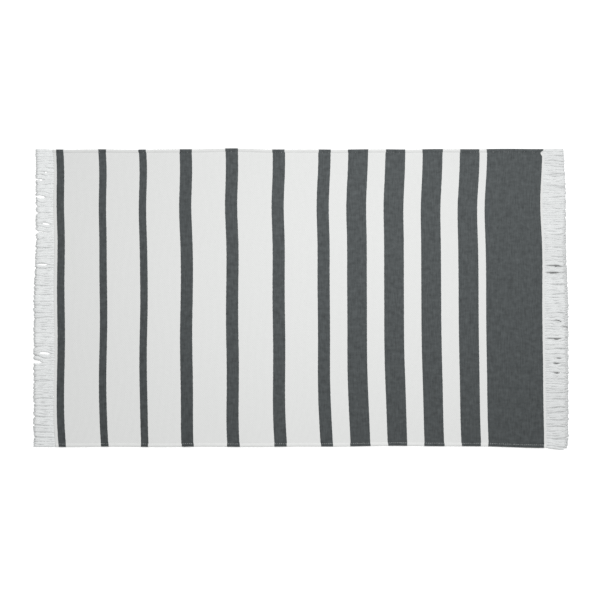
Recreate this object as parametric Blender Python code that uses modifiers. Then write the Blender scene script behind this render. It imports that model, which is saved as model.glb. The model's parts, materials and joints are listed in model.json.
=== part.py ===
"""A flat-woven striped bath mat with fringed ends.

Metres, +Z up. X runs along the warp, from the end with the narrow stripes to
the end with the wide dark panel, and Y runs along the weft. The origin is the
middle of the underside of the whole mat, fringes included.

The warp is one flat layer of threads. Each band of weft wraps it above and
below and turns back at the side edges. The warp's free ends are the fringe.
Both long edges are turned over and sewn down as narrow hems. A fold line
across the middle parts the mat into a left half and a right half.
"""

import math

import bmesh
import bpy
from mathutils import Matrix, Vector

# ---- Driving dimensions ------------------------------------------------------

MAT_WIDTH = 0.600  # across the weft, hem to hem

WEFT_THICKNESS = 0.0008  # one layer of weft yarn, above or below the warp
WARP_THICKNESS = 0.0006
PIECE_GAP = 0.0003  # between pieces that touch

NARROW_STRIPE = 0.0144
MEDIUM_STRIPE = 0.0240
BROAD_STRIPE = 0.0392
END_PANEL = 0.1121
LEFT_HEADER = 0.0080  # undyed weft that locks the first stripe
RIGHT_HEADER = 0.0060  # undyed weft that locks the end panel

# Every dark stripe from the left end to the right, with the light band after it.
STRIPES = (
    (NARROW_STRIPE, 0.0705),
    (NARROW_STRIPE, 0.0668),
    (NARROW_STRIPE, 0.0672),
    (MEDIUM_STRIPE, 0.0683),
    (MEDIUM_STRIPE, 0.0697),
    (MEDIUM_STRIPE, 0.0668),
    (MEDIUM_STRIPE, 0.0358),
    (BROAD_STRIPE, 0.0356),
    (BROAD_STRIPE, 0.0356),
    (BROAD_STRIPE, 0.0354),
    (BROAD_STRIPE, 0.0157),
    (END_PANEL, RIGHT_HEADER),
)
FOLDED_BAND = 6  # the light band that the fold line crosses

LEFT_FRINGE = 0.0395  # the longest strand of each end
RIGHT_FRINGE = 0.0455
STRAND_PITCH = 0.0090  # one strand is a few warp ends that cling together
STRAND_SPACE = 0.0010
STRAND_THICKNESS = 0.0024
STRAND_FLARE = 0.0020  # length over which a strand opens to its full thickness
STRAND_TIP = 0.0050  # length of the narrower tip
TIP_SHARE = 0.6  # tip section, as a share of the strand's section
LENGTH_VARIATION = 0.0050  # longest strand less the shortest

HEM_WIDTH = 0.0065
HEM_THICKNESS = 0.0020  # the turned layer that lies on the cloth
HEM_ROUNDING = 0.0007
THREAD_RADIUS = 0.0005
FOLD_CLEARANCE = 0.0005  # between a hem's top and the fold axis

# ---- Sizes that follow -------------------------------------------------------

CLOTH_THICKNESS = 2 * WEFT_THICKNESS + WARP_THICKNESS + 2 * PIECE_GAP
HEM_BASE = CLOTH_THICKNESS + PIECE_GAP
HEM_TOP = HEM_BASE + HEM_THICKNESS
FOLD_HEIGHT = HEM_TOP + FOLD_CLEARANCE
CLOTH_LENGTH = LEFT_HEADER + sum(dark + light for dark, light in STRIPES)
MAT_LENGTH = LEFT_FRINGE + CLOTH_LENGTH + RIGHT_FRINGE
CLOTH_START = LEFT_FRINGE - MAT_LENGTH / 2
CLOTH_END = CLOTH_START + CLOTH_LENGTH
WARP_WIDTH = MAT_WIDTH - 2 * (WEFT_THICKNESS + PIECE_GAP)

NATURAL_COTTON = ("natural_cotton", (0.74, 0.75, 0.74), 0.95)
CHARCOAL_COTTON = ("charcoal_cotton", (0.080, 0.084, 0.091), 0.95)
SEWING_THREAD = ("sewing_thread", (0.80, 0.81, 0.80), 0.70)


def clear_scene():
    for obj in list(bpy.data.objects):
        bpy.data.objects.remove(obj)


def material_for(piece, finish):
    """Give the piece its own Principled material in the finish's colour."""
    label, colour, roughness = finish
    material = bpy.data.materials.new(f"{piece.name}_{label}")
    material.use_nodes = True
    shader = material.node_tree.nodes["Principled BSDF"]
    shader.inputs["Base Color"].default_value = (*colour, 1.0)
    shader.inputs["Roughness"].default_value = roughness
    shader.inputs["Metallic"].default_value = 0.0
    piece.data.materials.append(material)


def add_piece(name, data, centre, carrier, finish):
    """Put a named piece at its place in the mat, on the half that carries it."""
    piece = bpy.data.objects.new(name, data)
    carrier.users_collection[0].objects.link(piece)
    piece.parent = carrier
    piece.location = Vector(centre) - carrier.location
    material_for(piece, finish)
    return piece


def mesh_from(name, bm):
    mesh = bpy.data.meshes.new(name)
    bmesh.ops.recalc_face_normals(bm, faces=bm.faces)
    bm.to_mesh(mesh)
    bm.free()
    return mesh


def box(size):
    bm = bmesh.new()
    bmesh.ops.create_cube(bm, size=1.0)
    bmesh.ops.scale(bm, vec=size, verts=bm.verts)
    return bm


# ---- Bands of weft -----------------------------------------------------------


def weft_band(name, start, end, carrier, finish):
    """A flat sleeve round the warp: weft above, weft below, turns at the sides."""
    bm = box((end - start - PIECE_GAP, MAT_WIDTH, CLOTH_THICKNESS))
    ends = [face for face in bm.faces if abs(face.normal.x) > 0.5]
    bmesh.ops.delete(bm, geom=ends, context="FACES_ONLY")
    centre = ((start + end) / 2, 0.0, CLOTH_THICKNESS / 2)
    band = add_piece(name, mesh_from(name, bm), centre, carrier, finish)
    wall = band.modifiers.new("weft_layer", "SOLIDIFY")
    wall.thickness = WEFT_THICKNESS
    wall.offset = -1.0
    wall.use_even_offset = True
    return band


def band_plan():
    """Name, start, end and finish of every band, left to right."""
    plan = [("left_header", CLOTH_START, CLOTH_START + LEFT_HEADER, NATURAL_COTTON)]
    x = CLOTH_START + LEFT_HEADER
    for number, (dark, light) in enumerate(STRIPES, start=1):
        plan.append((f"dark_stripe_{number:02d}", x, x + dark, CHARCOAL_COTTON))
        x += dark
        last = number == len(STRIPES)
        label = "right_header" if last else f"light_band_{number:02d}"
        plan.append((label, x, x + light, NATURAL_COTTON))
        x += light
    return plan


def fold_line(plan):
    """The middle of the light band that the mat folds across."""
    for name, start, end, _ in plan:
        if name == f"light_band_{FOLDED_BAND:02d}":
            return (start + end) / 2
    raise ValueError("the folded band is not one of the mat's bands")


def add_bands(plan, fold_x, left, right):
    for name, start, end, finish in plan:
        if end <= fold_x:
            weft_band(name, start, end, left, finish)
        elif start >= fold_x:
            weft_band(name, start, end, right, finish)
        else:
            weft_band(f"{name}_left", start, fold_x, left, finish)
            weft_band(f"{name}_right", fold_x, end, right, finish)


# ---- Warp and fringe ---------------------------------------------------------


def strand_edges():
    """Y of every strand's two sides, across the width of the warp."""
    count = round((WARP_WIDTH + STRAND_SPACE) / STRAND_PITCH)
    pitch = (WARP_WIDTH + STRAND_SPACE) / count
    edges = []
    for index in range(count):
        side = -WARP_WIDTH / 2 + index * pitch
        edges += [side, side + pitch - STRAND_SPACE]
    return edges


def strand_length(full, y):
    """Full at the front edge, and shorter towards the rear, in slow waves."""
    across = 0.5 - y / MAT_WIDTH
    wave = 0.5 + 0.5 * math.sin(across * 5 * math.pi)
    shortening = (1 - across) * (0.7 + 0.3 * wave)
    return full - LENGTH_VARIATION * shortening


def grow(bm, faces, reach, section):
    """Carry each face outwards by its reach and shrink or widen its section."""
    grown = bmesh.ops.extrude_discrete_faces(bm, faces=faces)["faces"]
    for face in grown:
        middle = face.calc_center_median()
        turn = Matrix.Translation(-middle)
        bmesh.ops.scale(bm, vec=(1.0, *section), space=turn, verts=face.verts)
        step = Vector((reach(middle.y), 0.0, 0.0))
        bmesh.ops.translate(bm, vec=step, verts=face.verts)
    return grown


def warp_layer(name, inner, outer, full_length, carrier):
    """The warp of one half: a flat layer whose free ends are the fringe."""
    edges = strand_edges()
    direction = 1.0 if outer > inner else -1.0
    bm = bmesh.new()
    bmesh.ops.create_grid(bm, x_segments=len(edges) - 1, y_segments=1, size=0.5)
    for vert in bm.verts:
        column = round((vert.co.x + 0.5) * (len(edges) - 1))
        height = math.copysign(WARP_THICKNESS / 2, vert.co.y)
        vert.co = Vector((0.0, edges[column], height))
    section = list(bm.faces)
    slab = bmesh.ops.extrude_face_region(bm, geom=section, use_keep_orig=True)
    far = [item for item in slab["geom"] if isinstance(item, bmesh.types.BMVert)]
    bmesh.ops.translate(bm, vec=(outer - inner, 0.0, 0.0), verts=far)
    bm.faces.ensure_lookup_table()
    strands = [
        face
        for face in bm.faces
        if all(abs(v.co.x - (outer - inner)) < 1e-6 for v in face.verts)
        and is_strand(face, edges)
    ]
    open_up = (1.0, STRAND_THICKNESS / WARP_THICKNESS)
    strands = grow(bm, strands, lambda y: direction * STRAND_FLARE, open_up)
    strands = grow(
        bm,
        strands,
        lambda y: direction * (strand_length(full_length, y) - STRAND_FLARE - STRAND_TIP),
        (1.0, 1.0),
    )
    grow(bm, strands, lambda y: direction * STRAND_TIP, (TIP_SHARE, TIP_SHARE))
    centre = (inner, 0.0, CLOTH_THICKNESS / 2)
    return add_piece(name, mesh_from(name, bm), centre, carrier, NATURAL_COTTON)


def is_strand(face, edges):
    """True where the face is a strand's root and not the space beside it."""
    low = min(vert.co.y for vert in face.verts)
    nearest = min(range(len(edges)), key=lambda index: abs(edges[index] - low))
    return nearest % 2 == 0


# ---- Hems --------------------------------------------------------------------


def hem(name, start, end, side, carrier):
    """The turned edge of one half: a strip that lies along the cloth's border."""
    bm = box((end - start, HEM_WIDTH, HEM_THICKNESS))
    y = side * (MAT_WIDTH - HEM_WIDTH) / 2
    centre = ((start + end) / 2, y, HEM_BASE + HEM_THICKNESS / 2)
    strip = add_piece(name, mesh_from(name, bm), centre, carrier, NATURAL_COTTON)
    rounding = strip.modifiers.new("soft_edge", "BEVEL")
    rounding.width = min(HEM_ROUNDING, HEM_THICKNESS / 3)
    rounding.segments = 2
    return strip


def hem_thread(name, start, end, side, carrier):
    """The row of sewing thread beside the inner edge of a hem."""
    curve = bpy.data.curves.new(name, "CURVE")
    curve.dimensions = "3D"
    curve.bevel_depth = THREAD_RADIUS
    curve.bevel_resolution = 2
    curve.use_fill_caps = True
    run = curve.splines.new("POLY")
    run.points.add(1)
    reach = (end - start) / 2
    run.points[0].co = (-reach, 0.0, 0.0, 1.0)
    run.points[1].co = (reach, 0.0, 0.0, 1.0)
    y = side * (MAT_WIDTH / 2 - HEM_WIDTH - PIECE_GAP - THREAD_RADIUS)
    centre = ((start + end) / 2, y, HEM_BASE + THREAD_RADIUS)
    return add_piece(name, curve, centre, carrier, SEWING_THREAD)


def add_hems(half, start, end, carrier):
    for edge, side in (("front", -1), ("rear", 1)):
        hem(f"{edge}_hem_{half}", start, end, side, carrier)
        hem_thread(f"{edge}_hem_thread_{half}", start, end, side, carrier)


# ---- The mat -----------------------------------------------------------------


def add_half(collection, name, origin):
    """An empty that carries one half of the mat."""
    half = bpy.data.objects.new(name, None)
    half.location = origin
    collection.objects.link(half)
    return half


def build_mat():
    clear_scene()
    collection = bpy.data.collections.new("fringed_bath_mat")
    bpy.context.scene.collection.children.link(collection)
    plan = band_plan()
    fold_x = fold_line(plan)
    left = add_half(collection, "left_half", (0.0, 0.0, 0.0))
    right = add_half(collection, "right_half", (fold_x, 0.0, FOLD_HEIGHT))
    left_end = fold_x - PIECE_GAP / 2
    right_start = fold_x + PIECE_GAP / 2
    add_bands(plan, fold_x, left, right)
    warp_layer("left_warp_and_fringe", left_end, CLOTH_START, LEFT_FRINGE, left)
    warp_layer("right_warp_and_fringe", right_start, CLOTH_END, RIGHT_FRINGE, right)
    add_hems("left", CLOTH_START, left_end, left)
    add_hems("right", right_start, CLOTH_END, right)


build_mat()
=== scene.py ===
"""Looks of the fringed bath mat: woven cloth, hem stitches, fringes and studio.

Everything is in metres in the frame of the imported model. X runs along the warp,
Y along the weft, from the front hem to the rear hem, and Z is up.
"""

from __future__ import annotations

import json
import logging
import math
import random
from dataclasses import dataclass
from enum import Enum

import bmesh
import bpy
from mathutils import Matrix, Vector


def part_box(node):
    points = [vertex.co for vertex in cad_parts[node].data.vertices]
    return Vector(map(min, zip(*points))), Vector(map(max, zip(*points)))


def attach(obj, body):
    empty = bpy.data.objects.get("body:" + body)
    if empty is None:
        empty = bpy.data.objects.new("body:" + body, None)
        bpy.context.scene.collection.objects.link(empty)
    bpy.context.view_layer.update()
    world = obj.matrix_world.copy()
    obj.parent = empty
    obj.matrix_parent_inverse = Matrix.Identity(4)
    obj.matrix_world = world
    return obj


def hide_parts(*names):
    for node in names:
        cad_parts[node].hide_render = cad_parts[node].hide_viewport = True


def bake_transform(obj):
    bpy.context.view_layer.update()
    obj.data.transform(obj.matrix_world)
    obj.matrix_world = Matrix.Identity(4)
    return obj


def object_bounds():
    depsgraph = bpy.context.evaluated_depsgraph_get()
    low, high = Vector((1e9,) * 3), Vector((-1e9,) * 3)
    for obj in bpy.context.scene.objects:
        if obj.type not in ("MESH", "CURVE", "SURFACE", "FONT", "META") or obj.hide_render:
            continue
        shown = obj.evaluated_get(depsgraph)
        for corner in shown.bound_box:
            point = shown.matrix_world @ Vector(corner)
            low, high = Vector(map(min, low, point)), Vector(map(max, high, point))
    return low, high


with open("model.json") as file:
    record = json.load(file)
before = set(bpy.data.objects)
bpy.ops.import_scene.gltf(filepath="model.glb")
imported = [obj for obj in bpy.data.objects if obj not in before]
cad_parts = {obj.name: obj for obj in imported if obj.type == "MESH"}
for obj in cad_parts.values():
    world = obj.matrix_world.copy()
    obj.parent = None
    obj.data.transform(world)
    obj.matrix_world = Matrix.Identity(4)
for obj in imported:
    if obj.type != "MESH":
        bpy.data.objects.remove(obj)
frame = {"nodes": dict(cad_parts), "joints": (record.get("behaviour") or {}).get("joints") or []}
CAD_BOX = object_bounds()

LOG = logging.getLogger("bath_mat")
MM = 0.001
DARK_STRIPES = 12
LEFT_HALF = "left_half"
RIGHT_HALF = "right_half"
FLAT_MAP = "FlatCloth"  # UV map of the cloth laid flat, in metres
YARN_MAP = "YarnLength"  # UV map of a strand: turns round it, and metres along it
TONE = "tone"  # attribute of a strand: its brightness, with its painted shade

# The kind of a math node, and its settings for each operation.
MATH = "ShaderNodeMath"
ABSOLUTE = {"operation": "ABSOLUTE"}
ADD = {"operation": "ADD"}
COMPARE = {"operation": "COMPARE"}
FLOOR = {"operation": "FLOOR"}
FRACT = {"operation": "FRACT"}
MULTIPLY = {"operation": "MULTIPLY"}
MULTIPLY_ADD = {"operation": "MULTIPLY_ADD"}
SINE = {"operation": "SINE"}
SUBTRACT = {"operation": "SUBTRACT"}


class End(Enum):
    """The two ends of the mat, by the direction in which their fringes run."""

    LEFT = -1
    RIGHT = 1


class Edge(Enum):
    """The two hemmed edges of the mat, by their side of its middle line."""

    FRONT = -1
    REAR = 1


# ---- Small helpers -----------------------------------------------------------


def linear(code: str) -> tuple[float, float, float, float]:
    """Turn an sRGB hex colour into linear RGBA.

    Args:
        code: six hex digits, two for each of red, green and blue.

    Returns:
        The four linear channels, with alpha 1.
    """
    channels = [int(code[i : i + 2], 16) / 255 for i in (0, 2, 4)]
    red, green, blue = (
        c / 12.92 if c <= 0.04045 else ((c + 0.055) / 1.055) ** 2.4 for c in channels
    )
    return red, green, blue, 1.0


def add_node(
    tree: bpy.types.NodeTree,
    kind: str,
    settings: dict[str, object] | None = None,
    inputs: dict[int | str, object] | None = None,
    output: int | str = 0,
) -> bpy.types.NodeSocket:
    """Add a node with its settings, and fill or link its inputs.

    Args:
        tree: the node tree that gets the node.
        kind: the node's type name.
        settings: attributes of the node.
        inputs: a value, or a socket to link from, for each input by name or place.
        output: the output wanted, by name or place.

    Returns:
        The wanted output socket.
    """
    node = tree.nodes.new(kind)
    for name, value in (settings or {}).items():
        setattr(node, name, value)
    for key, value in (inputs or {}).items():
        if isinstance(value, bpy.types.NodeSocket):
            tree.links.new(value, node.inputs[key])
        else:
            node.inputs[key].default_value = value
    return node.outputs[output] if node.outputs else None


def toned(
    tree: bpy.types.NodeTree,
    colour: bpy.types.NodeSocket | tuple[float, float, float, float],
    tone: bpy.types.NodeSocket,
) -> bpy.types.NodeSocket:
    """Brighten or darken a colour.

    Args:
        tree: the node tree that gets the nodes.
        colour: the colour, or the socket that gives it.
        tone: the factor for all three channels.

    Returns:
        The toned colour.
    """
    grey = add_node(tree, "ShaderNodeCombineColor", inputs={0: tone, 1: tone, 2: tone})
    return add_node(
        tree,
        "ShaderNodeMix",
        {"data_type": "RGBA", "blend_type": "MULTIPLY"},
        {0: 1.0, 6: colour, 7: grey},
        output=2,
    )


def new_material(name: str) -> bpy.types.Material:
    """Make a material with an empty node tree.

    Args:
        name: what the real material is and how it is made.

    Returns:
        The new material.
    """
    material = bpy.data.materials.new(name)
    material.use_nodes = True
    material.node_tree.nodes.clear()
    return material


def new_object(name: str, mesh: bmesh.types.BMesh, finish: bpy.types.Material) -> bpy.types.Object:
    """Turn a bmesh into a smooth-shaded object at the origin.

    Args:
        name: the name of the piece.
        mesh: the bmesh, which is freed.
        finish: the material that covers it.

    Returns:
        The new object, linked to the scene.
    """
    data = bpy.data.meshes.new(name)
    mesh.to_mesh(data)
    mesh.free()
    data.shade_smooth()
    data.materials.append(finish)
    piece = bpy.data.objects.new(name, data)
    bpy.context.scene.collection.objects.link(piece)
    return piece


def smooth_step(low: float, high: float, value: float) -> float:
    """Rise smoothly from 0 at low to 1 at high."""
    share = min(max((value - low) / (high - low), 0.0), 1.0)
    return share * share * (3 - 2 * share)


@dataclass(frozen=True)
class Ramp:
    """A smooth rise from 0 at its start to its height at its stop, level past that."""

    height: float
    start: float
    stop: float

    def at(self, place: float) -> float:
        """Height at a place."""
        return self.height * smooth_step(self.start, self.stop, place)


@dataclass(frozen=True)
class Bell:
    """A smooth hump, which falls off over its reach on both sides of its centre."""

    height: float
    centre: float
    reach: float

    def at(self, place: float) -> float:
        """Height at a place."""
        return self.height * math.exp(-(((place - self.centre) / self.reach) ** 2))


@dataclass(frozen=True)
class Wave:
    """A sine wave over one or two measures, with its rate in radians per unit of each."""

    height: float
    rate: float
    cross_rate: float = 0.0
    phase: float = 0.0

    def at(self, place: float, cross: float = 0.0) -> float:
        """Height at a place."""
        return self.height * math.sin(self.rate * place + self.cross_rate * cross + self.phase)

    def above(self, place: float, cross: float = 0.0) -> float:
        """Height at a place over the wave's own troughs."""
        return self.height + self.at(place, cross)


def stations(spans: list[tuple[float, float, float]]) -> list[float]:
    """Divide each span evenly by about its own step.

    Args:
        spans: start, end and step of each span, in order and end to end.

    Returns:
        Every station, from the first start to the last end.
    """
    places = [spans[0][0]]
    for start, end, step in spans:
        count = max(1, round((end - start) / step))
        places += [start + (end - start) * (i + 1) / count for i in range(count)]
    return places


# ---- How the mat is laid -----------------------------------------------------


@dataclass(frozen=True)
class Layout:
    """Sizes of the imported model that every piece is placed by."""

    start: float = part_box("left_header")[0][0]
    end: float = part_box("right_header")[1][0]
    left_tip: float = CAD_BOX[0][0]
    right_tip: float = CAD_BOX[1][0]
    half_width: float = CAD_BOX[1][1]
    cloth_top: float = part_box("dark_stripe_01")[1][2]
    hem_top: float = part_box("rear_hem_left")[1][2]
    hem_width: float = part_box("rear_hem_left")[1][1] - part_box("rear_hem_left")[0][1]
    fold: float = frame["joints"][0]["pos_m"][0]

    @property
    def half_length(self) -> float:
        """Half of the woven length."""
        return (self.end - self.start) / 2

    def stripes(self) -> list[tuple[float, float]]:
        """Find every dark stripe.

        Returns:
            The middle and the half width of each, along X.
        """
        found = []
        for number in range(1, DARK_STRIPES + 1):
            low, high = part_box(f"dark_stripe_{number:02d}")
            found.append(((low[0] + high[0]) / 2, (high[0] - low[0]) / 2))
        return found


@dataclass(frozen=True)
class HemLine:
    """How far one hem strays from a straight line along the mat, in millimetres."""

    offset: float
    bulge: Bell
    turn: Ramp
    wobble: Wave

    def at(self, along: float) -> float:
        """How far it strays at a place along the mat."""
        return self.offset + self.bulge.at(along) + self.turn.at(along) + self.wobble.at(along)


@dataclass(frozen=True)
class Lie:
    """How the weave lies: its weft rows lean, bow and hook a little, in millimetres.

    Places along the mat run from -1 at the left end to 1 at the right one, and
    places across it from -1 at the rear hem to 1 at the front one.
    """

    layout: Layout
    lean_left: float = -1.6
    lean_right: float = 2.2
    hook_left: float = 4.2
    hook_right: float = -0.4
    hook_power: int = 7  # keeps the hook close to the hems
    bow: Bell = Bell(5.6, 0.42, 0.48)  # along the mat
    dent: Bell = Bell(-2.8, -0.62, 0.2)  # across it
    ripples: tuple[Wave, ...] = (Wave(0.4, 6.5, 8.0, 0.85), Wave(0.4, 8.5, 6.0, -1.3))
    hem_slip: Wave = Wave(0.9, 23.0)  # along the mat
    hem_start: Ramp = Ramp(1.0, 0.972, 0.984)  # where the layer that slips begins
    corner: Ramp = Ramp(1.0, 0.9, 1.0)  # how much a place along the mat is in the corner
    corner_poke: Ramp = Ramp(2.4, 0.980, 0.990)  # the hem's end stands out past the cloth
    corner_nip: Bell = Bell(3.6, 0.972, 0.012)  # and the cloth beside it draws in
    rear_line: HemLine = HemLine(
        -0.8, Bell(2.0, -0.28, 0.13), Ramp(0.9, 0.1, 1.0), Wave(0.3, 23.0, phase=1.0)
    )
    front_line: HemLine = HemLine(
        0.9, Bell(1.8, 0.42, 0.3), Ramp(-2.4, 0.75, 1.02), Wave(0.35, 17.0, phase=2.0)
    )
    low_wave: Wave = Wave(0.125, 1 / 0.083, 1 / 0.061)  # over X and Y
    hem_wave: Wave = Wave(0.275, 1 / 0.031, 3.0)  # over X and a share of the half width
    hem_border: Ramp = Ramp(1.0, 0.75, 1.0)
    calm_reach: float = 30 * MM  # of the fold line, where the waves die out

    def place(self, x: float, y: float) -> tuple[float, float]:
        """Move a point of the flat cloth to where it lies.

        Args:
            x: place along the warp.
            y: place along the weft.

        Returns:
            The point's X and Y on the floor.
        """
        size = self.layout
        along = (x - (size.start + size.end) / 2) / size.half_length
        front = -y / size.half_width
        right = (along + 1) / 2
        lean = self.lean_left + (self.lean_right - self.lean_left) * right
        hook = self.hook_left + (self.hook_right - self.hook_left) * right
        shift = lean * front + hook * front**self.hook_power
        # A third less leaves the mean place of a bowed row where it was.
        shift += self.bow.at(along) * (front**2 - 1 / 3)
        shift += self.dent.at(front) + sum(wave.at(front, along) for wave in self.ripples)
        shift += self.hem_slip.at(along) * self.hem_start.at(abs(front))
        shift += self.corner.at(along) * (self.corner_poke.at(-front) - self.corner_nip.at(-front))
        across = self.rear_line.at(along) * (1 - front) / 2
        across += self.front_line.at(along) * (1 + front) / 2
        return x + shift * MM, y + across * MM

    def lift(self, x: float, y: float) -> float:
        """Raise the underside in low waves, which are highest at the hems.

        Args:
            x: place along the warp.
            y: place along the weft.

        Returns:
            The height over the floor.
        """
        size = self.layout
        across = y / size.half_width
        waves = self.low_wave.above(x, y)
        waves += self.hem_border.at(abs(across)) * self.hem_wave.above(x, across)
        return waves * (1 - Bell(1.0, size.fold, self.calm_reach).at(x)) * MM


# ---- Finishes ----------------------------------------------------------------


@dataclass(frozen=True)
class StripedCotton:
    """Flat-woven cotton, dyed charcoal in the stripes and undyed between them.

    Weft-faced plain weave: rounded weft floats pass over one warp thread at a
    time, so the face is a fine brick pattern, matt, with faint streaks along
    the weft where the spun yarn is thicker or takes less dye.
    """

    layout: Layout
    undyed: str = "E5E6E5"
    charcoal: str = "525657"
    weft_pitch: float = 2.3 * MM  # two picks, drawn as one so that the rows show
    warp_pitch: float = 4.6 * MM
    relief: float = 0.45 * MM
    crown: float = 0.75  # how much lower a float is at its ends, as a share of its height
    pit_shade_tone: float = 0.956  # painted shade between the threads
    float_light_tone: float = 1.026  # painted light on the middle of a float
    tooth: float = 0.4 * MM  # unevenness of a stripe's edge
    spread: float = 0.5 * MM  # how far the dark weft is beaten over its neighbours
    streak_length: float = 22 * MM
    streak_width: float = 2.6 * MM
    slub_length: float = 13 * MM
    slub_width: float = 8 * MM
    undyed_streaks: float = 0.07  # strength of the streaks
    charcoal_streaks: float = 1.57
    charcoal_across: float = 0.11  # how much paler than even it is at the rear hem
    charcoal_along: float = 0.09  # how much darker the stripes at the left end are
    charcoal_darkest_x: float = -0.25  # X up to which the stripes at the left end are darkest
    charcoal_even_x: float = -0.10  # X where the charcoal is even again

    def material(self) -> bpy.types.Material:
        """Build the material.

        Returns:
            The material.
        """
        material = new_material("charcoal_and_undyed_cotton_flat_weave")
        tree = material.node_tree
        place = add_node(tree, "ShaderNodeUVMap", {"uv_map": FLAT_MAP})
        weave = self._weave(tree, place)
        normal = add_node(
            tree,
            "ShaderNodeBump",
            inputs={"Strength": 0.48, "Distance": self.relief, "Height": weave},
        )
        shader = add_node(
            tree,
            "ShaderNodeBsdfPrincipled",
            inputs={
                "Base Color": self._colour(tree, place, weave),
                "Normal": normal,
                "Roughness": 0.92,
                "Specular IOR Level": 0.08,
                "Sheen Weight": 0.03,
                "Sheen Roughness": 0.6,
            },
        )
        add_node(tree, "ShaderNodeOutputMaterial", inputs={"Surface": shader})
        return material

    def _weave(self, tree: bpy.types.NodeTree, place: bpy.types.NodeSocket) -> bpy.types.NodeSocket:
        """Draw the rounded floats, each row half a float further than the last.

        Args:
            tree: the material's node tree.
            place: the place on the flat cloth.

        Returns:
            The height of the weave, from 0 between the threads to 1 on a float.
        """
        parts = add_node(tree, "ShaderNodeSeparateXYZ", inputs={0: place}).node
        rows = add_node(tree, MATH, MULTIPLY, {0: parts.outputs["X"], 1: 1 / self.weft_pitch})
        row = add_node(tree, MATH, FLOOR, {0: rows})
        in_row = add_node(tree, MATH, FRACT, {0: rows})
        ridge = add_node(tree, MATH, MULTIPLY, {0: in_row, 1: math.pi})
        ridge = add_node(tree, MATH, SINE, {0: ridge})
        floats = add_node(
            tree, MATH, MULTIPLY, {0: parts.outputs["Y"], 1: math.pi / self.warp_pitch}
        )
        turned = add_node(tree, MATH, MULTIPLY_ADD, {0: row, 1: math.pi / 2, 2: floats})
        over = add_node(tree, MATH, SINE, {0: turned})
        over = add_node(tree, MATH, ABSOLUTE, {0: over})
        over = add_node(tree, MATH, MULTIPLY_ADD, {0: over, 1: self.crown, 2: 1 - self.crown})
        return add_node(tree, MATH, MULTIPLY, {0: ridge, 1: over})

    def _streaks(
        self, tree: bpy.types.NodeTree, place: bpy.types.NodeSocket
    ) -> bpy.types.NodeSocket:
        """Draw the spun yarn's unevenness: long streaks along the weft, slubs across it.

        Args:
            tree: the material's node tree.
            place: the place on the flat cloth.

        Returns:
            The unevenness, about 0.5.
        """
        sizes = (
            (self.streak_width, self.streak_length),
            (self.slub_length, self.slub_width),
        )
        fields = []
        for along, across in sizes:
            drawn = add_node(
                tree,
                "ShaderNodeMapping",
                inputs={"Vector": place, "Scale": (1 / along, 1 / across, 1.0)},
            )
            fields.append(
                add_node(
                    tree,
                    "ShaderNodeTexNoise",
                    {"noise_dimensions": "2D"},
                    {"Vector": drawn, "Scale": 1.0, "Detail": 4.0, "Roughness": 0.65},
                )
            )
        both = add_node(tree, MATH, ADD, {0: fields[0], 1: fields[1]})
        return add_node(tree, MATH, MULTIPLY, {0: both, 1: 0.5})

    def _stripe_mask(
        self, tree: bpy.types.NodeTree, place: bpy.types.NodeSocket
    ) -> bpy.types.NodeSocket:
        """Tell the charcoal weft from the undyed, with slightly uneven edges.

        Args:
            tree: the material's node tree.
            place: the place on the flat cloth.

        Returns:
            1 where the weft is charcoal, 0 where it is undyed.
        """
        uneven = add_node(
            tree,
            "ShaderNodeTexNoise",
            {"noise_dimensions": "2D"},
            {"Vector": place, "Scale": 1 / self.warp_pitch, "Detail": 1.0},
        )
        uneven = add_node(tree, MATH, MULTIPLY_ADD, {0: uneven, 1: 2 * self.tooth, 2: -self.tooth})
        parts = add_node(tree, "ShaderNodeSeparateXYZ", inputs={0: place})
        along = add_node(tree, MATH, ADD, {0: parts, 1: uneven})
        mask = None
        for centre, half in self.layout.stripes():
            inside = add_node(tree, MATH, COMPARE, {0: along, 1: centre, 2: half + self.spread})
            if mask is not None:
                inside = add_node(tree, MATH, ADD, {0: mask, 1: inside})
            mask = inside
        return mask

    def _charcoal_gradient(self, tree: bpy.types.NodeTree, place: bpy.types.NodeSocket) -> bpy.types.NodeSocket:
        """Darken the charcoal towards the front, and in the stripes at the left end.

        Args:
            tree: the material's node tree.
            place: the place on the flat cloth.

        Returns:
            The charcoal of the place.
        """
        parts = add_node(tree, "ShaderNodeSeparateXYZ", inputs={0: place}).node
        half = self.layout.half_width
        tones = []
        for axis, low, high, at_low, at_high in (
            ("Y", -half, half, 1 - self.charcoal_across, 1 + self.charcoal_across),
            ("X", self.charcoal_darkest_x, self.charcoal_even_x, 1 - self.charcoal_along, 1.0),
        ):
            limits = {"From Min": low, "From Max": high, "To Min": at_low, "To Max": at_high}
            value = {"Value": parts.outputs[axis]}
            tones.append(add_node(tree, "ShaderNodeMapRange", inputs=value | limits))
        tone = add_node(tree, MATH, MULTIPLY, {0: tones[0], 1: tones[1]})
        return toned(tree, linear(self.charcoal), tone)

    def _colour(
        self,
        tree: bpy.types.NodeTree,
        place: bpy.types.NodeSocket,
        weave: bpy.types.NodeSocket,
    ) -> bpy.types.NodeSocket:
        """Colour the yarn, streaked along the weft, with painted shade between the threads and
        painted light on the floats.

        Args:
            tree: the material's node tree.
            place: the place on the flat cloth.
            weave: the height of the weave.

        Returns:
            The colour.
        """
        mask = self._stripe_mask(tree, place)
        yarn = add_node(
            tree,
            "ShaderNodeMix",
            {"data_type": "RGBA"},
            {0: mask, 6: linear(self.undyed), 7: self._charcoal_gradient(tree, place)},
            output=2,
        )
        more = self.charcoal_streaks - self.undyed_streaks
        swing = add_node(tree, MATH, MULTIPLY_ADD, {0: mask, 1: more, 2: self.undyed_streaks})
        centred = add_node(tree, MATH, SUBTRACT, {0: self._streaks(tree, place), 1: 0.5})
        rise = self.float_light_tone - self.pit_shade_tone
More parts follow.
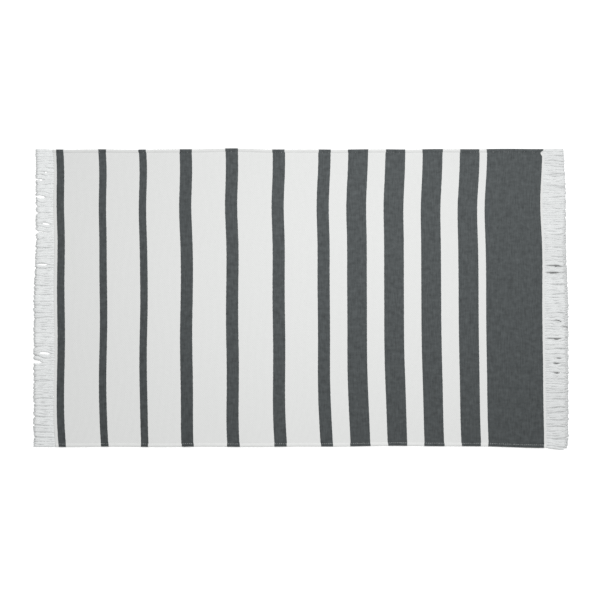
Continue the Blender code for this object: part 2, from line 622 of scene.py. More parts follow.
        # painted shade between the threads and painted light on the floats, by the weave's height
        depth = add_node(tree, MATH, MULTIPLY_ADD, {0: weave, 1: rise, 2: self.pit_shade_tone})
        tone = add_node(tree, MATH, MULTIPLY_ADD, {0: centred, 1: swing, 2: depth})
        return toned(tree, yarn, tone)


@dataclass(frozen=True)
class SpunCotton:
    """Loose undyed cotton warp ends: each strand is a soft bundle of matt spun threads."""

    undyed: str = "E4E6E6"
    threads: int = 12  # round one strand
    lay: float = 90.0 * MM  # length in which the threads go once round the strand
    ply_pitch: float = 1.7 * MM  # of the twist within a thread
    ply_depth: float = 0.12  # as a share of the threads' own ridges
    relief: float = 0.4 * MM
    fibre_turns: float = 6.0  # patches of loose fibres round a strand
    fibre_length: float = 6.25 * MM
    pit_shade_tone: float = 0.87  # painted shade between the threads, where no fibres lie
    fibre_tone: float = 0.08  # how much brighter loose fibres make it
    ridge_light_tone: float = 0.09  # painted light: how much brighter a thread's ridge is

    def material(self) -> bpy.types.Material:
        """Build the material.

        Returns:
            The material.
        """
        material = new_material("undyed_spun_cotton_fringe")
        tree = material.node_tree
        place = add_node(tree, "ShaderNodeUVMap", {"uv_map": YARN_MAP})
        fuzz = self._fuzz(tree, place)
        ridge, height = self._threads(tree, place, fuzz)
        colour = self._colour(tree, ridge, fuzz)
        normal = add_node(
            tree,
            "ShaderNodeBump",
            inputs={"Strength": 0.6, "Distance": self.relief, "Height": height},
        )
        shader = add_node(
            tree,
            "ShaderNodeBsdfPrincipled",
            inputs={
                "Base Color": colour,
                "Normal": normal,
                "Roughness": 0.95,
                "Specular IOR Level": 0.2,
                "Sheen Weight": 0.06,
            },
        )
        add_node(tree, "ShaderNodeOutputMaterial", inputs={"Surface": shader})
        return material

    def _fuzz(self, tree: bpy.types.NodeTree, place: bpy.types.NodeSocket) -> bpy.types.NodeSocket:
        """Draw loose fibres and thick places, as noise along the strand.

        Args:
            tree: the material's node tree.
            place: turns round the strand, and metres along it.

        Returns:
            The unevenness, from 0 to 1.
        """
        fibres = add_node(
            tree,
            "ShaderNodeMapping",
            inputs={"Vector": place, "Scale": (self.fibre_turns, 1 / self.fibre_length, 1.0)},
        )
        return add_node(
            tree,
            "ShaderNodeTexNoise",
            {"noise_dimensions": "2D"},
            {"Vector": fibres, "Scale": 1.0, "Detail": 3.0},
        )

    def _threads(
        self,
        tree: bpy.types.NodeTree,
        place: bpy.types.NodeSocket,
        fuzz: bpy.types.NodeSocket,
    ) -> tuple[bpy.types.NodeSocket, bpy.types.NodeSocket]:
        """Rounded threads that wind slowly round the strand.

        Args:
            tree: the material's node tree.
            place: turns round the strand, and metres along it.
            fuzz: the unevenness, which makes the threads wander.

        Returns:
            The threads' ridges, and the height with their own twist added.
        """
        parts = add_node(tree, "ShaderNodeSeparateXYZ", inputs={0: place}).node
        turn = add_node(tree, MATH, MULTIPLY, {0: parts.outputs["X"], 1: float(self.threads)})
        wound = add_node(
            tree, MATH, MULTIPLY_ADD, {0: parts.outputs["Y"], 1: self.threads / self.lay, 2: turn}
        )
        wound = add_node(tree, MATH, ADD, {0: wound, 1: fuzz})
        angle = add_node(tree, MATH, MULTIPLY, {0: wound, 1: math.pi})
        ridge = add_node(tree, MATH, SINE, {0: angle})
        ridge = add_node(tree, MATH, ABSOLUTE, {0: ridge})
        twist = add_node(
            tree, MATH, MULTIPLY_ADD, {0: parts.outputs["Y"], 1: 1 / self.ply_pitch, 2: wound}
        )
        twist = add_node(tree, MATH, MULTIPLY, {0: twist, 1: math.tau})
        ply = add_node(tree, MATH, SINE, {0: twist})
        height = add_node(tree, MATH, MULTIPLY_ADD, {0: ply, 1: self.ply_depth, 2: ridge})
        return ridge, height

    def _colour(
        self,
        tree: bpy.types.NodeTree,
        ridge: bpy.types.NodeSocket,
        fuzz: bpy.types.NodeSocket,
    ) -> bpy.types.NodeSocket:
        """Colour the yarn: painted shade between the threads, painted light on their ridges, and
        the painted shade of a gap and of the strands underneath.

        Args:
            tree: the material's node tree.
            ridge: the threads' ridges.
            fuzz: the unevenness.

        Returns:
            The colour.
        """
        tone = self.pit_shade_tone
        # loose fibres brighten it unevenly; the ridges get painted light
        for field, strength in ((fuzz, self.fibre_tone), (ridge, self.ridge_light_tone)):
            tone = add_node(tree, MATH, MULTIPLY_ADD, {0: field, 1: strength, 2: tone})
        # the strand's tone, which carries its painted shade
        shade = add_node(tree, "ShaderNodeAttribute", {"attribute_name": TONE}, output="Fac")
        tone = add_node(tree, MATH, MULTIPLY, {0: tone, 1: shade})
        return toned(tree, linear(self.undyed), tone)


@dataclass(frozen=True)
class SewingThread:
    """White spun sewing thread: smoother and a little glossier than the yarn."""

    white: str = "E6E8E7"
    ply_pitch: float = 0.4 * MM
    ply_depth: float = 0.1 * MM
    band_length: float = 0.314  # of a wave texture's bands, at scale 1

    def material(self) -> bpy.types.Material:
        """Build the material.

        Returns:
            The material.
        """
        material = new_material("white_spun_sewing_thread")
        tree = material.node_tree
        place = add_node(tree, "ShaderNodeTexCoord", output="Object")
        plies = add_node(
            tree,
            "ShaderNodeTexWave",
            {"bands_direction": "DIAGONAL"},
            {"Vector": place, "Scale": self.band_length / self.ply_pitch},
            output="Fac",
        )
        normal = add_node(
            tree,
            "ShaderNodeBump",
            inputs={"Strength": 0.4, "Distance": self.ply_depth, "Height": plies},
        )
        shader = add_node(
            tree,
            "ShaderNodeBsdfPrincipled",
            inputs={"Base Color": linear(self.white), "Normal": normal, "Roughness": 0.7},
        )
        add_node(tree, "ShaderNodeOutputMaterial", inputs={"Surface": shader})
        return material


@dataclass(frozen=True)
class WhitePaper:
    """Pale seamless paper of the floor, bright enough to read as plain white."""

    white: str = "F7F7F7"
    glow: float = 0.35

    def material(self) -> bpy.types.Material:
        """Build the material.

        Returns:
            The material.
        """
        material = new_material("white_seamless_paper")
        tree = material.node_tree
        shader = add_node(
            tree,
            "ShaderNodeBsdfPrincipled",
            inputs={
                "Base Color": linear(self.white),
                "Roughness": 1.0,
                "Specular IOR Level": 0.0,
                "Emission Color": (1.0, 1.0, 1.0, 1.0),
                "Emission Strength": self.glow,
            },
        )
        add_node(tree, "ShaderNodeOutputMaterial", inputs={"Surface": shader})
        return material


# ---- Woven cloth -------------------------------------------------------------


@dataclass
class WovenCloth:
    """The whole cloth with its two turned hems, as one continuous sheet."""

    layout: Layout
    lie: Lie
    field_step: float = 4.6 * MM  # between stations on the plain cloth, along the weft
    warp_step: float = 4.0 * MM  # and along the warp
    fold_step: float = 0.9 * MM
    end_step: float = 1.2 * MM
    hem_step: float = 0.8 * MM
    edge_step: float = 0.4 * MM
    fold_reach: float = 9.0 * MM  # of the fold line, where the stations are close
    end_reach: float = 4.8 * MM  # of the cloth's ends
    hem_margin: float = 4.0 * MM  # past the hem, on the plain cloth
    edge_rounding: float = 2.0 * MM
    end_rounding: float = 1.2 * MM
    bluntness: float = 0.08  # thickness left at the very edge, as a share
    hem_shoulder: float = 2.6 * MM  # from the hem's inner edge to its full height
    hem_foot: float = 1.2 * MM  # from the hem's inner edge to the plain cloth
    hem_fill: float = 0.74  # mean height of its roll, as a share of the hem's rise
    hem_swells: tuple[Wave, ...] = (Wave(0.07, 1 / 0.0077), Wave(0.05, 1 / 0.0031, phase=1.0))
    seam_dip: float = 0.2 * MM
    seam_offset: float = 0.8 * MM  # of the dip from the hem's inner edge
    seam_reach: float = 1.2 * MM

    def build(self) -> bpy.types.Object:
        """Build the sheet.

        Returns:
            The cloth, as a closed mesh with its flat UV map.
        """
        along = self._along()
        across = self._across()
        mesh = bmesh.new()
        bmesh.ops.create_grid(
            mesh, x_segments=len(along) - 1, y_segments=len(across) - 1, size=0.5
        )
        for vert in mesh.verts:
            column = round((vert.co.x + 0.5) * (len(along) - 1))
            row = round((vert.co.y + 0.5) * (len(across) - 1))
            vert.co = Vector((along[column], across[row], 0.0))
        under = list(mesh.faces)
        raised = bmesh.ops.extrude_face_region(mesh, geom=under, use_keep_orig=True)
        top = [item for item in raised["geom"] if isinstance(item, bmesh.types.BMVert)]
        bmesh.ops.translate(mesh, vec=(0.0, 0.0, 1.0), verts=top)
        bmesh.ops.recalc_face_normals(mesh, faces=mesh.faces)
        self._map_flat(mesh)
        for vert in mesh.verts:
            vert.co = self._laid(vert.co.x, vert.co.y, vert.co.z > 0.5)
        finish = StripedCotton(self.layout).material()
        return new_object("woven_cloth", mesh, finish)

    def _along(self) -> list[float]:
        """Set the stations along the warp, close together at the ends and the fold.

        Returns:
            X of every station.
        """
        size = self.layout
        left, right = size.start + self.end_reach, size.end - self.end_reach
        return stations(
            [
                (size.start, left, self.end_step),
                (left, size.fold - self.fold_reach, self.warp_step),
                (size.fold - self.fold_reach, size.fold + self.fold_reach, self.fold_step),
                (size.fold + self.fold_reach, right, self.warp_step),
                (right, size.end, self.end_step),
            ]
        )

    def _across(self) -> list[float]:
        """Set the stations along the weft, close together at the hems.

        Returns:
            Y of every station.
        """
        half = self.layout.half_width
        rim = half - self.edge_rounding
        plain = half - self.layout.hem_width - self.hem_margin
        return stations(
            [
                (-half, -rim, self.edge_step),
                (-rim, -plain, self.hem_step),
                (-plain, plain, self.field_step),
                (plain, rim, self.hem_step),
                (rim, half, self.edge_step),
            ]
        )

    def _map_flat(self, mesh: bmesh.types.BMesh) -> None:
        """Give every corner its place on the flat cloth, in metres.

        Args:
            mesh: the cloth, while it is still flat.
        """
        layer = mesh.loops.layers.uv.new(FLAT_MAP)
        for face in mesh.faces:
            for loop in face.loops:
                loop[layer].uv = loop.vert.co.xy

    def _laid(self, x: float, y: float, is_top: bool) -> Vector:
        """Lay a point of the flat cloth.

        Args:
            x: place along the warp, on the flat cloth.
            y: place along the weft, on the flat cloth.
            is_top: whether it is on the top, and not on the underside.

        Returns:
            Its place on the laid mat.
        """
        px, py = self.lie.place(x, y)
        low, high = self.section(x, y)
        return Vector((px, py, (high if is_top else low) + self.lie.lift(x, y)))

    def section(self, x: float, y: float) -> tuple[float, float]:
        """Heights of the underside and of the top above the underside's plane.

        Args:
            x: place along the warp, on the flat cloth.
            y: place along the weft, on the flat cloth.

        Returns:
            The lower and the upper height.
        """
        size = self.layout
        inwards = size.half_width - abs(y)
        hem_inner = size.hem_width
        slope = Ramp(1.0, hem_inner - self.hem_shoulder, hem_inner + self.hem_foot)
        rise = (size.hem_top - size.cloth_top) * (1 - slope.at(inwards))
        fullness = self.hem_fill + sum(swell.at(x) for swell in self.hem_swells)
        seam = Bell(self.seam_dip, hem_inner + self.seam_offset, self.seam_reach)
        high = size.cloth_top + rise * fullness - seam.at(inwards)
        low = 0.0
        middle = high / 2
        for gap, reach in (
            (inwards, self.edge_rounding),
            (min(x - size.start, size.end - x), self.end_rounding),
        ):
            if gap < reach:
                roundness = math.sqrt(max(1 - ((reach - gap) / reach) ** 2, 0.0))
                roundness = max(roundness, self.bluntness)
                high = middle + (high - middle) * roundness
                low = middle - (middle - low) * roundness
        return low, high

    def declare(self, cloth: bpy.types.Object, going_with: list[bpy.types.Object]) -> None:
        """Hide the model's parts that the cloth takes the place of, and bake its placement into its
        mesh.

        Args:
            cloth: the cloth.
            going_with: the stitches and the fringes; not used.
        """
        nodes = [
            name
            for name in frame["nodes"]
            if name.startswith(("dark_stripe", "light_band"))
            or name.endswith(("_header", "_hem_left", "_hem_right"))
        ]
        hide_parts(*nodes)
        blend_over_fold(cloth)


def blend_over_fold(piece: bpy.types.Object) -> None:
    """Bake a piece's placement into its mesh; the piece crosses the fold.

    Args:
        piece: the piece that crosses the fold.
    """
    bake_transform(piece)


# ---- Hem stitches ------------------------------------------------------------


@dataclass
class HemStitching:
    """One row of lockstitch along a hem: short spindles of thread, sunk into the cloth."""

    edge: Edge
    cloth: WovenCloth
    finish: bpy.types.Material
    pitch: float = 4.2 * MM
    stitch: float = 3.0 * MM  # length of one
    thread: float = 0.6 * MM  # and its width
    flatness: float = 0.8  # thickness of a stitch as a share of its width
    up_slope: float = 0.5 * MM  # from the hem's inner edge to the row
    sunk_front: float = 0.12 * MM  # how deep the thread pulls into the front hem
    sunk_rear: float = 0.28 * MM  # and into the rear one
    slant: float = 0.06  # most, as a slope
    drift: float = 0.15 * MM  # most, to either side of the row
    seed: int = 11

    def build(self) -> bpy.types.Object:
        """Build the row.

        Returns:
            The stitches, as one piece.
        """
        size = self.cloth.layout
        rng = random.Random(self.seed + self.edge.value)
        mesh = bmesh.new()
        y = self.edge.value * (size.half_width - (size.hem_width - self.up_slope))
        count = int((size.end - size.start) / self.pitch)
        for index in range(count):
            x = size.start + (index + 0.5) * self.pitch
            self._add_stitch(mesh, x, y, rng)
        return new_object(f"{self.edge.name.lower()}_hem_stitching", mesh, self.finish)

    def _add_stitch(
        self, mesh: bmesh.types.BMesh, x: float, y: float, rng: random.Random
    ) -> None:
        """Lay one stitch.

        Args:
            mesh: the row.
            x: place of the stitch's middle along the warp, on the flat cloth.
            y: its place along the weft, on the flat cloth.
            rng: the source of its unevenness.
        """
        made = bmesh.ops.create_uvsphere(mesh, u_segments=6, v_segments=4, radius=0.5)
        slant = rng.uniform(-self.slant, self.slant)
        drift = rng.uniform(-self.drift, self.drift)
        sunk = self.sunk_front if self.edge is Edge.FRONT else self.sunk_rear
        for vert in made["verts"]:
            run = vert.co.z * self.stitch
            side = vert.co.x * self.thread
            rise = vert.co.y * self.thread * self.flatness
            at = x + run
            px, py = self.cloth.lie.place(at, y)
            _, high = self.cloth.section(at, y)
            high += self.cloth.lie.lift(at, y) - sunk
            vert.co = Vector((px, py + side + drift + slant * run, high + rise))

    def declare(self, row: bpy.types.Object) -> None:
        """Hide the model's threads of this hem, and bake the row's placement into its mesh.

        Args:
            row: the row.
        """
        name = self.edge.name.lower()
        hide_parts(f"{name}_hem_thread_left", f"{name}_hem_thread_right")
        blend_over_fold(row)


# ---- Fringes -----------------------------------------------------------------


@dataclass(frozen=True)
class Gap:
    """A slit in a fringe, where two neighbouring strands bend apart."""

    at: float  # place along the weft, in millimetres from the middle line
    start: float  # where it opens, as a share of the strands' length
    stop: float  # where it closes; past 1 it is still open at the tips
    opening: float = 3.0  # widest opening, in millimetres
    slack: float = 1.0  # added on each side for the strands' unevenness, in millimetres
    crowding: float = 9.0  # along the weft, over which the push dies out, in millimetres
    bluntness: int = 3  # of the opening's ends
    shade_bluntness: int = 4
    shade: float = 0.68  # how much darker what lies under it is

    def lens(self, share: float, bluntness: int) -> float:
        """How open it is at a place.

        Args:
            share: the place along the strands, as a share of their length.
            bluntness: how suddenly it opens and closes.

        Returns:
            From 0, shut, to 1, widest.
        """
        middle = (self.start + self.stop) / 2
        reach = (self.stop - self.start) / 2
        return max(1 - abs((share - middle) / reach) ** bluntness, 0.0)

    def push(self, off: float, share: float) -> float:
        """Push a strand aside.

        Args:
            off: the strand's distance from the gap along the weft, signed.
            share: the place along the strand, as a share of its length.

        Returns:
            The sideways shift, away from the gap.
        """
        crowding = math.exp(-abs(off) / (self.crowding * MM))
        widest = (self.opening / 2 + self.slack) * MM
        return math.copysign(widest * self.lens(share, self.bluntness) * crowding, off)


MOTTLES = (Wave(0.02, 13.0, 5.0), Wave(0.01, 29.0))  # over a strand's share and its turn


@dataclass(frozen=True)
class Strand:
    """One strand of a fringe: where it starts, how far it runs and how it lies."""

    root: float  # place along the weft
    length: float
    lean: float  # sideways shift of the tip
    gather: float  # sideways shift towards its group, most of it near the root
    sway: float  # sideways wave on the way
    phase: float  # of the wave at the root
    radius: float  # half of its width
    flatness: float  # thickness as a share of the width
    height: float  # of its middle line over the floor, at mid length
    tone: float
    turn: float  # start of its twist
    under: Gap | None = None  # the gap that it shows through

    def shade_in(self, share: float) -> float:
        """How much darker the strand is at a place, being in the shade of a gap."""
        gap = self.under
        return gap.shade * gap.lens(share, gap.shade_bluntness) if gap else 0.0

    def mottle(self, share: float) -> float:
        """Small change of tone along the strand, about 1."""
        return 1 + sum(wave.at(share, self.turn) for wave in MOTTLES)


@dataclass(frozen=True)
class FringeHabit:
    """What sets one fringe apart from the other. Lengths are in millimetres.

    Ramps across the mat run from -1 at the rear hem to 1 at the front one.
    """

    gaps: tuple[Gap, ...]
    contrast: float  # between the groups of strands
    tone: float  # mean brightness of the yarn
    rear_brightening: float  # how much brighter it is at the rear hem
    lower_shade_tone: float  # painted shade of the strands underneath, as a share of the upper ones' tone
    lower_parts: bool  # whether the strands underneath part at a gap too
    spread_rear: Ramp
    spread_front: Ramp
    short: float  # from the end of the model's box to the tips
    cut: tuple[Ramp, ...]  # how much shorter the line of the tips is across the mat
    upper_cut: tuple[Ramp, ...]  # how much shorter still the upper strands are
    lower_cut: float  # and the lower ones


HABITS: dict[End, FringeHabit] = {
    End.LEFT: FringeHabit(
        gaps=(
            Gap(253, 0.32, 0.56, 3.6),
            Gap(240, 0.54, 0.78, 3.3),
            Gap(201, 0.40, 1.02, 5.5),
            Gap(187, 0.84, 1.20, 6.0),
            Gap(173, 0.92, 1.20, 4.4),
            Gap(150, 0.10, 0.64, 3.9),
            Gap(134, 0.90, 1.20, 5.0),
            Gap(67, 0.30, 0.92, 5.2),
            Gap(-111, 0.10, 0.80, 4.7),
            Gap(-132, 0.62, 1.15, 5.6),
            Gap(-214, 0.92, 1.15, 4.0),
        ),
        contrast=1.0,
        tone=1.20,
        rear_brightening=0.036,
        lower_shade_tone=0.95,
        lower_parts=True,
        spread_rear=Ramp(1.5, 0.9, 1.0),
        spread_front=Ramp(0.3, 0.88, 1.0),
        short=4.0,
        cut=(Ramp(-4.4, -0.4, 0.05),),
        upper_cut=(),
        lower_cut=1.5,
    ),
    End.RIGHT: FringeHabit(
        gaps=(
            Gap(64, 0.02, 0.90, 3.4),
            Gap(54, 0.00, 0.90, 3.2),
            Gap(-42, 0.40, 0.82, 8.5),
            Gap(-58, 0.72, 1.02, 6.5),
            Gap(-81, 0.02, 0.96, 3.6),
            Gap(-120, 0.40, 0.86, 5.2),
            Gap(-130, 0.28, 0.76, 4.6),
            Gap(-146, 0.36, 0.76, 4.2),
        ),
        contrast=1.6,
        tone=1.08,
        rear_brightening=0.027,
        lower_shade_tone=0.88,
        lower_parts=False,
        spread_rear=Ramp(1.3, 0.9, 1.0),
        spread_front=Ramp(5.0, 0.88, 1.0),
        short=9.5,
        cut=(Ramp(-5.5, -1.1, -0.6), Ramp(-4.6, -0.35, 0.05), Ramp(5.0, 0.94, 1.02)),
        upper_cut=(Ramp(5.5, -0.9, -0.2),),
        lower_cut=0.0,
    ),
}


@dataclass
class Fringe:
    """The loose warp ends of one end of the mat, which lie two deep.

    Ramps and waves along a strand run over the share of its length, from 0 to 1.
    """

    end: End
    layout: Layout
    lie: Lie
    finish: bpy.types.Material
    pitch: float = 4.55 * MM
    inset: float = 1.2 * MM  # of the outermost strands from the hem's edge
    sides: int = 6
    rings: int = 7
    yarn_offset: float = 0.37  # metres of yarn from one strand's pattern to the next
    tucked: float = 6.5 * MM  # length over which the strands rise out of the cloth's end
    lowest: float = 0.75 * MM  # middle line of the strands underneath, over the floor
    raised: float = 0.7 * MM  # middle line over the cloth's, where the strands leave it
    tip_height: float = 0.6 * MM  # towards which the tips sink
    ragged: Wave = Wave(0.7 * MM, 3.0, 1.0)  # a cut tip's, over its width and its twist
    ragged_from: float = 0.99  # share of the length where the tip's cut begins
    group_sizes: tuple[int, ...] = (1, 2, 2, 2, 2, 3)
    upright: Ramp = Ramp(1.0, 0.93, 1.0)  # towards a hem, where the strands run straight
    calm: Ramp = Ramp(1.0, 0.9, 1.0)  # towards a hem, where the shared waves die out
    upper_side: Ramp = Ramp(1.0, -0.4, 0.2)  # of a strand's round, which takes the shade
    slow: Wave = Wave(1.3, 1 / (23 * MM))  # over the root's place
    quick: tuple[Wave, ...] = (Wave(1.0, 1 / (8.5 * MM), 4.0), Wave(0.5, 1 / (5.1 * MM), -7.0))
    sway_rate: float = 5.0
    late: float = 1.5  # power of the share in a shift that grows towards the tip
    early: float = 0.5  # and in one that comes soon after the root
    spreading: float = 0.6  # and in the spread of the outermost strands
    rock: Wave = Wave(0.14, 9.0, 1.0)  # over the share and the twist's start
    rock_in: Ramp = Ramp(1.0, 0.0, 0.15)
    settle: Ramp = Ramp(1.0, 0.0, 0.5)  # from the root's height to the strand's own
    droop: Ramp = Ramp(0.45, 0.8, 1.0)
    gathered: Ramp = Ramp(0.12, 0.0, 0.2)  # how much thinner it is at the root
    tapered: Ramp = Ramp(0.2, 0.94, 1.0)  # and at the cut tip
    seed: int = 5
    lower_seed: int = 25

    @property
    def habit(self) -> FringeHabit:
        """What sets this fringe apart."""
        return HABITS[self.end]

    def build(self) -> bpy.types.Object:
        """Build the fringe.

        Returns:
            All strands of this end, as one piece.
        """
        template = self._template()
        mesh = bmesh.new()
        yarn = mesh.loops.layers.uv.new(YARN_MAP)
        tone = mesh.verts.layers.float.new(TONE)
        for index, strand in enumerate(self._lower_strands() + self._upper_strands()):
            known = len(mesh.verts)
            mesh.from_mesh(template)
            mesh.verts.ensure_lookup_table()
            fresh = mesh.verts[known:]
            for vert in fresh:
                _, share = self._place_on(strand, vert.co.z)
                shade = strand.shade_in(share) * self.upper_side.at(vert.co.y)
                vert[tone] = strand.tone * strand.mottle(share) * (1 - shade)
            faces = {face for vert in fresh for face in vert.link_faces}
            for face in faces:
                for loop in face.loops:
                    turn, share = loop[yarn].uv
                    run = share * strand.length + self.yarn_offset * index
                    loop[yarn].uv = (turn + index, run)
            self._shape(fresh, strand)
        bmesh.ops.recalc_face_normals(mesh, faces=mesh.faces)
        bpy.data.meshes.remove(template)
        return new_object(f"{self.end.name.lower()}_fringe", mesh, self.finish)

    def _template(self) -> bpy.types.Mesh:
        """Build a straight strand of length and radius 1.

        Returns:
            The strand along Z, with rings along it and its yarn map.
        """
        mesh = bmesh.new()
        bmesh.ops.create_cone(
            mesh,
            cap_ends=True,
            segments=self.sides,
            radius1=1.0,
            radius2=1.0,
            depth=1.0,
        )
        bmesh.ops.translate(mesh, vec=(0.0, 0.0, 0.5), verts=mesh.verts)
        runs = [e for e in mesh.edges if abs(e.verts[0].co.z - e.verts[1].co.z) > 0.5]
        bmesh.ops.subdivide_edges(mesh, edges=runs, cuts=self.rings, use_grid_fill=True)
        layer = mesh.loops.layers.uv.new(YARN_MAP)
        for face in mesh.faces:
            middle = face.calc_center_median()
            is_cap = middle.xy.length < 0.1
            facing = math.atan2(middle.y, middle.x)
            for loop in face.loops:
                co = loop.vert.co
                apart = math.remainder(math.atan2(co.y, co.x) - facing, math.tau)
                loop[layer].uv = (0.0 if is_cap else (facing + apart) / math.tau, co.z)
        data = bpy.data.meshes.new("strand_template")
        mesh.to_mesh(data)
        mesh.free()
        return data

    @property
    def _breadth(self) -> float:
        """Half of the width over which the strands are spread."""
        return self.layout.half_width - self.inset

    @property
    def _count(self) -> int:
        """Number of strands side by side."""
        return round(2 * self._breadth / self.pitch)

    @property
    def _spacing(self) -> float:
        """Distance from one strand to the next."""
        return 2 * self._breadth / self._count

    def _gaps(self) -> list[tuple[float, Gap]]:
        """Move each gap to the nearest place between two strands.

        Returns:
            That place along the weft, and the gap.
        """
        spacing = self._spacing
        return [
            (round((gap.at * MM + self._breadth) / spacing) * spacing - self._breadth, gap)
            for gap in self.habit.gaps
        ]

    def _upper_strands(self) -> list[Strand]:
        """Plan the strands on top, which cling together in small groups.

        Returns:
            The strands, from the front hem to the rear one.
        """
        rng = random.Random(self.seed + self.end.value)
        contrast = self.habit.contrast
        strands = []
        left_in_group = 0
        for index in range(self._count):
            place = -self._breadth + (index + 0.5) * self._spacing
            between = place - self._spacing / 2
            at_gap = any(abs(between - at) < self._spacing / 4 for at, _ in self._gaps())
            if left_in_group == 0 or at_gap:
                left_in_group = rng.choice(self.group_sizes)
                middle = place + (left_in_group - 1) * self._spacing / 2
                drift = rng.gauss(0.0, 0.9) * MM
                group_sway = rng.gauss(0.0, 0.45) * contrast**1.5 * MM
                phase = rng.uniform(0.0, math.tau)
                pull = rng.uniform(0.2, 0.38)
                level = rng.uniform(1.35, 1.7) * MM
                shade = 1 - rng.uniform(-0.01, 0.03) * contrast
            left_in_group -= 1
            inner = 1 - self.upright.at(abs(place) / self._breadth)
            root = place + rng.uniform(-0.9, 0.9) * MM * inner
            strands.append(
                Strand(
                    root=root,
                    length=self._reach(root, True) + rng.gauss(0.0, 0.6) * MM,
                    lean=(drift + rng.gauss(0.0, 0.3) * MM) * inner,
                    gather=(middle - root) * pull * inner,
                    sway=(group_sway + rng.gauss(0.0, 0.25) * MM) * inner,
                    phase=phase + rng.uniform(-0.3, 0.3),
                    radius=rng.uniform(3.4, 4.0) * MM,
                    flatness=rng.uniform(0.26, 0.31),
                    height=level + rng.uniform(-0.06, 0.06) * MM,
                    tone=self._tone(root) * shade * rng.uniform(0.995, 1.005),
                    turn=rng.uniform(0.0, math.tau),
                )
            )
        return strands

    def _lower_strands(self) -> list[Strand]:
        """Plan the strands underneath, which close the spaces between the upper ones.

        Returns:
            The strands, from the front hem to the rear one.
        """
        rng = random.Random(self.lower_seed + self.end.value)
        strands = []
        for index in range(1, self._count):
            place = -self._breadth + index * self._spacing
            over = [gap for at, gap in self._gaps() if abs(place - at) < self._spacing / 2]
            if over and self.habit.lower_parts:
                continue
            root = place + rng.uniform(-0.7, 0.7) * MM
            strands.append(
                Strand(
                    root=root,
                    length=self._reach(root, False) + rng.gauss(0.0, 0.5) * MM,
                    lean=0.0,
                    gather=0.0,
                    sway=0.0,
                    phase=0.0,
                    radius=rng.uniform(3.3, 3.9) * MM,
                    flatness=0.19,
                    height=self.lowest,
                    # painted shade: the strands underneath are darker than the upper ones
                    tone=self._tone(root) * self.habit.lower_shade_tone,
                    turn=rng.uniform(0.0, math.tau),
                    under=over[0] if over else None,
                )
            )
        return strands

    def _tone(self, y: float) -> float:
        """Brightness of the yarn, which rises towards the rear and is higher at the left end."""
        return self.habit.tone + self.habit.rear_brightening * y / self.layout.half_width

    def _bend(self, y: float, share: float) -> float:
        """Bend neighbouring strands together: slow waves, and a spread of the outermost.

        Args:
            y: the strand's root, along the weft.
            share: the place along the strand, as a share of its length.

        Returns:
            The sideways shift, in metres.
        """
        front = -y / self.layout.half_width
        waves = self.slow.at(y) * share**self.late
        waves += sum(wave.at(y, share) for wave in self.quick) * share
        spread = self.habit.spread_rear.at(-front) - self.habit.spread_front.at(front)
        return (waves * (1 - self.calm.at(abs(front))) + spread * share**self.spreading) * MM

    def _reach(self, y: float, upper: bool) -> float:
        """Measure how far the strands run at a place: their tips were cut in one line.

        Args:
            y: the strand's root, along the weft.
            upper: whether the strand is on top.

        Returns:
            The strand's length.
        """
        habit = self.habit
        front = -y / self.layout.half_width
        ramps = habit.cut + habit.upper_cut if upper else habit.cut
        short = habit.short + sum(ramp.at(front) for ramp in ramps)
        short += 0.0 if upper else habit.lower_cut
        is_right = self.end is End.RIGHT
        box_end = self.layout.right_tip if is_right else self.layout.left_tip
        base, _ = self.lie.place(self._root_line(), y)
        return abs(box_end - self.end.value * short * MM - base)

    def _root_line(self) -> float:
        """X at which the strands leave the flat cloth."""
        return self.layout.end if self.end is End.RIGHT else self.layout.start

    def _place_on(self, strand: Strand, part: float) -> tuple[float, float]:
        """Find where a place on the template comes on a strand.

        Args:
            strand: the strand.
            part: the place, as a share of the template's whole length.

        Returns:
            The distance past the cloth's end, and the share of the free length.
        """
        run = -self.tucked + part * (strand.length + self.tucked)
        return run, max(run / strand.length, 0.0)

    def _shape(self, verts: list[bmesh.types.BMVert], strand: Strand) -> None:
        """Bend, twist and taper one straight strand to where it lies.

        Args:
            verts: the strand's vertices, as they are on the template.
            strand: how it lies.
        """
        base_x, base_y = self.lie.place(self._root_line(), strand.root)
        gaps = self._gaps()
        parts = strand.height > self.lowest or self.habit.lower_parts
        for vert in verts:
            run, share = self._place_on(strand, vert.co.z)
            if share > self.ragged_from:
                run += self.ragged.at(vert.co.x, strand.turn)
            bend = strand.lean * share**self.late + strand.gather * share**self.early
            waving = math.sin(self.sway_rate * share + strand.phase) - math.sin(strand.phase)
            bend += strand.sway * waving + self._bend(strand.root, share)
            if parts:
                bend += sum(gap.push(strand.root - at, share) for at, gap in gaps)
            level = 0.5 * self.layout.cloth_top + self.raised * smooth_step(-self.tucked, 0.0, run)
            level += (strand.height - level) * self.settle.at(share)
            level -= (level - self.tip_height) * self.droop.at(share)
            thick = strand.radius * self._fullness(share)
            rock = self.rock.at(share, strand.turn) * self.rock_in.at(share)
            wide = vert.co.x * thick
            tall = vert.co.y * thick * strand.flatness
            side = wide * math.cos(rock) - tall * math.sin(rock)
            rise = wide * math.sin(rock) + tall * math.cos(rock)
            x = base_x + self.end.value * run
            vert.co = Vector((x, base_y + bend + side, max(level + rise, 0.0)))

    def _fullness(self, share: float) -> float:
        """Thickness along a strand: gathered at the cloth, full, then a cut tip."""
        gathered = 1 - self.gathered.height + self.gathered.at(share)
        return gathered * (1 - self.tapered.at(share))

    def declare(self, fringe: bpy.types.Object) -> None:
        """Hide the model's fringe of this end, and hang the fringe on the half that carries it.

        Args:
            fringe: the fringe.
        """
        side = self.end.name.lower()
        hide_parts(f"{side}_warp_and_fringe")
        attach(fringe, RIGHT_HALF if self.end is End.RIGHT else LEFT_HALF)


# ---- Studio ------------------------------------------------------------------


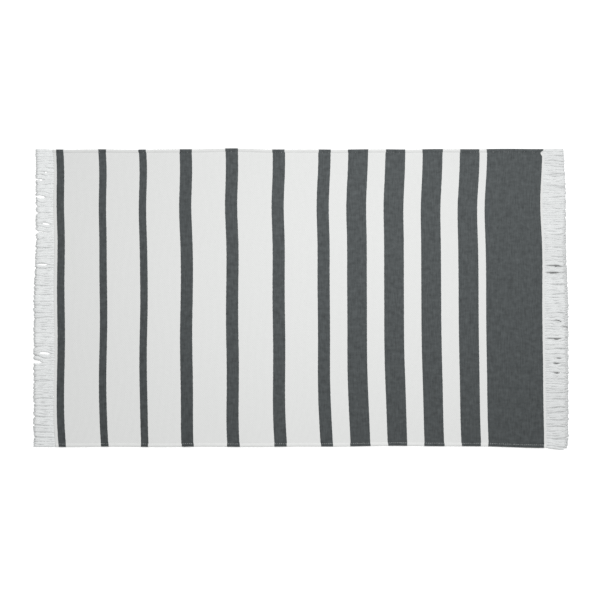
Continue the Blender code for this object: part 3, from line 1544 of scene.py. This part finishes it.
@dataclass(frozen=True)
class Studio:
    """A white floor under soft light: a surround, a lamp over the rear right and a far window."""

    lens: float = 85.0
    sensor: float = 36.0
    view_width: float = 1.208  # of floor that the frame takes in
    aim_x: float = -2.0 * MM
    aim_y: float = -3.8 * MM
    sky: float = 0.48
    lamp_power: float = 4.6
    lamp_size: float = 0.5
    lamp_place: tuple[float, float, float] = (0.15, 0.20, 1.1)
    window_strength: float = 0.98
    window_angle: float = 18.0  # degrees across, which sets how soft its shadows are
    window_from: tuple[float, float, float] = (0.8, 0.6, 1.0)
    floor_reach: float = 60.0  # from the mat to the floor's edges
    floor_gap: float = 0.2 * MM  # under the mat

    def build(self) -> None:
        """Build the floor, the lights and the camera."""
        self._floor()
        self._lights()
        self._camera()
        bpy.context.scene.view_settings.view_transform = "Standard"

    def _floor(self) -> None:
        """Lay the paper just under the mat."""
        mesh = bmesh.new()
        bmesh.ops.create_grid(mesh, x_segments=1, y_segments=1, size=self.floor_reach)
        floor = new_object("paper_floor", mesh, WhitePaper().material())
        floor.location.z = -self.floor_gap

    def _lights(self) -> None:
        """Set the surround, the lamp and the window."""
        world = bpy.data.worlds.new("soft_white_surround")
        world.use_nodes = True
        background = world.node_tree.nodes["Background"]
        background.inputs["Color"].default_value = (1.0, 1.0, 1.0, 1.0)
        background.inputs["Strength"].default_value = self.sky
        bpy.context.scene.world = world
        lamp = bpy.data.lights.new("overhead_softbox", "AREA")
        lamp.shape = "DISK"
        lamp.size = self.lamp_size
        lamp.energy = self.lamp_power
        above = Vector(self.lamp_place)
        self._hang(lamp, above, Vector((0.0, 0.0, 1.0)))
        window = bpy.data.lights.new("far_window", "SUN")
        window.energy = self.window_strength
        window.angle = math.radians(self.window_angle)
        self._hang(window, Vector(self.window_from), Vector(self.window_from))

    def _hang(self, data: bpy.types.Light, place: Vector, facing: Vector) -> None:
        """Put a light at a place, with its back towards a direction.

        Args:
            data: the light.
            place: where it hangs.
            facing: the direction that points away from what it lights.
        """
        light = bpy.data.objects.new(data.name, data)
        light.location = place
        light.rotation_euler = facing.to_track_quat("Z", "Y").to_euler()
        bpy.context.scene.collection.objects.link(light)

    def _camera(self) -> None:
        """Hang the camera straight above the mat."""
        data = bpy.data.cameras.new("overhead_camera")
        data.lens = self.lens
        data.sensor_width = self.sensor
        camera = bpy.data.objects.new("overhead_camera", data)
        height = self.view_width * self.lens / self.sensor
        camera.location = (self.aim_x, self.aim_y, height)
        bpy.context.scene.collection.objects.link(camera)
        bpy.context.scene.camera = camera


def main() -> None:
    """Build every piece in order, and report each one."""
    logging.basicConfig(level=logging.INFO, format="%(name)s: %(message)s")
    layout = Layout()
    lie = Lie(layout)
    weaving = WovenCloth(layout, lie)
    cloth = weaving.build()
    going_with = []
    thread = SewingThread().material()
    for edge in Edge:
        sewing = HemStitching(edge, weaving, thread)
        row = sewing.build()
        sewing.declare(row)
        going_with.append(row)
    yarn = SpunCotton().material()
    for end in End:
        fringing = Fringe(end, layout, lie, yarn)
        fringe = fringing.build()
        fringing.declare(fringe)
        going_with.append(fringe)
    weaving.declare(cloth, going_with)
    for piece in (cloth, *going_with):
        LOG.info("%s: %d faces", piece.name, len(piece.data.polygons))
    Studio().build()


if __name__ == "__main__":
    main()
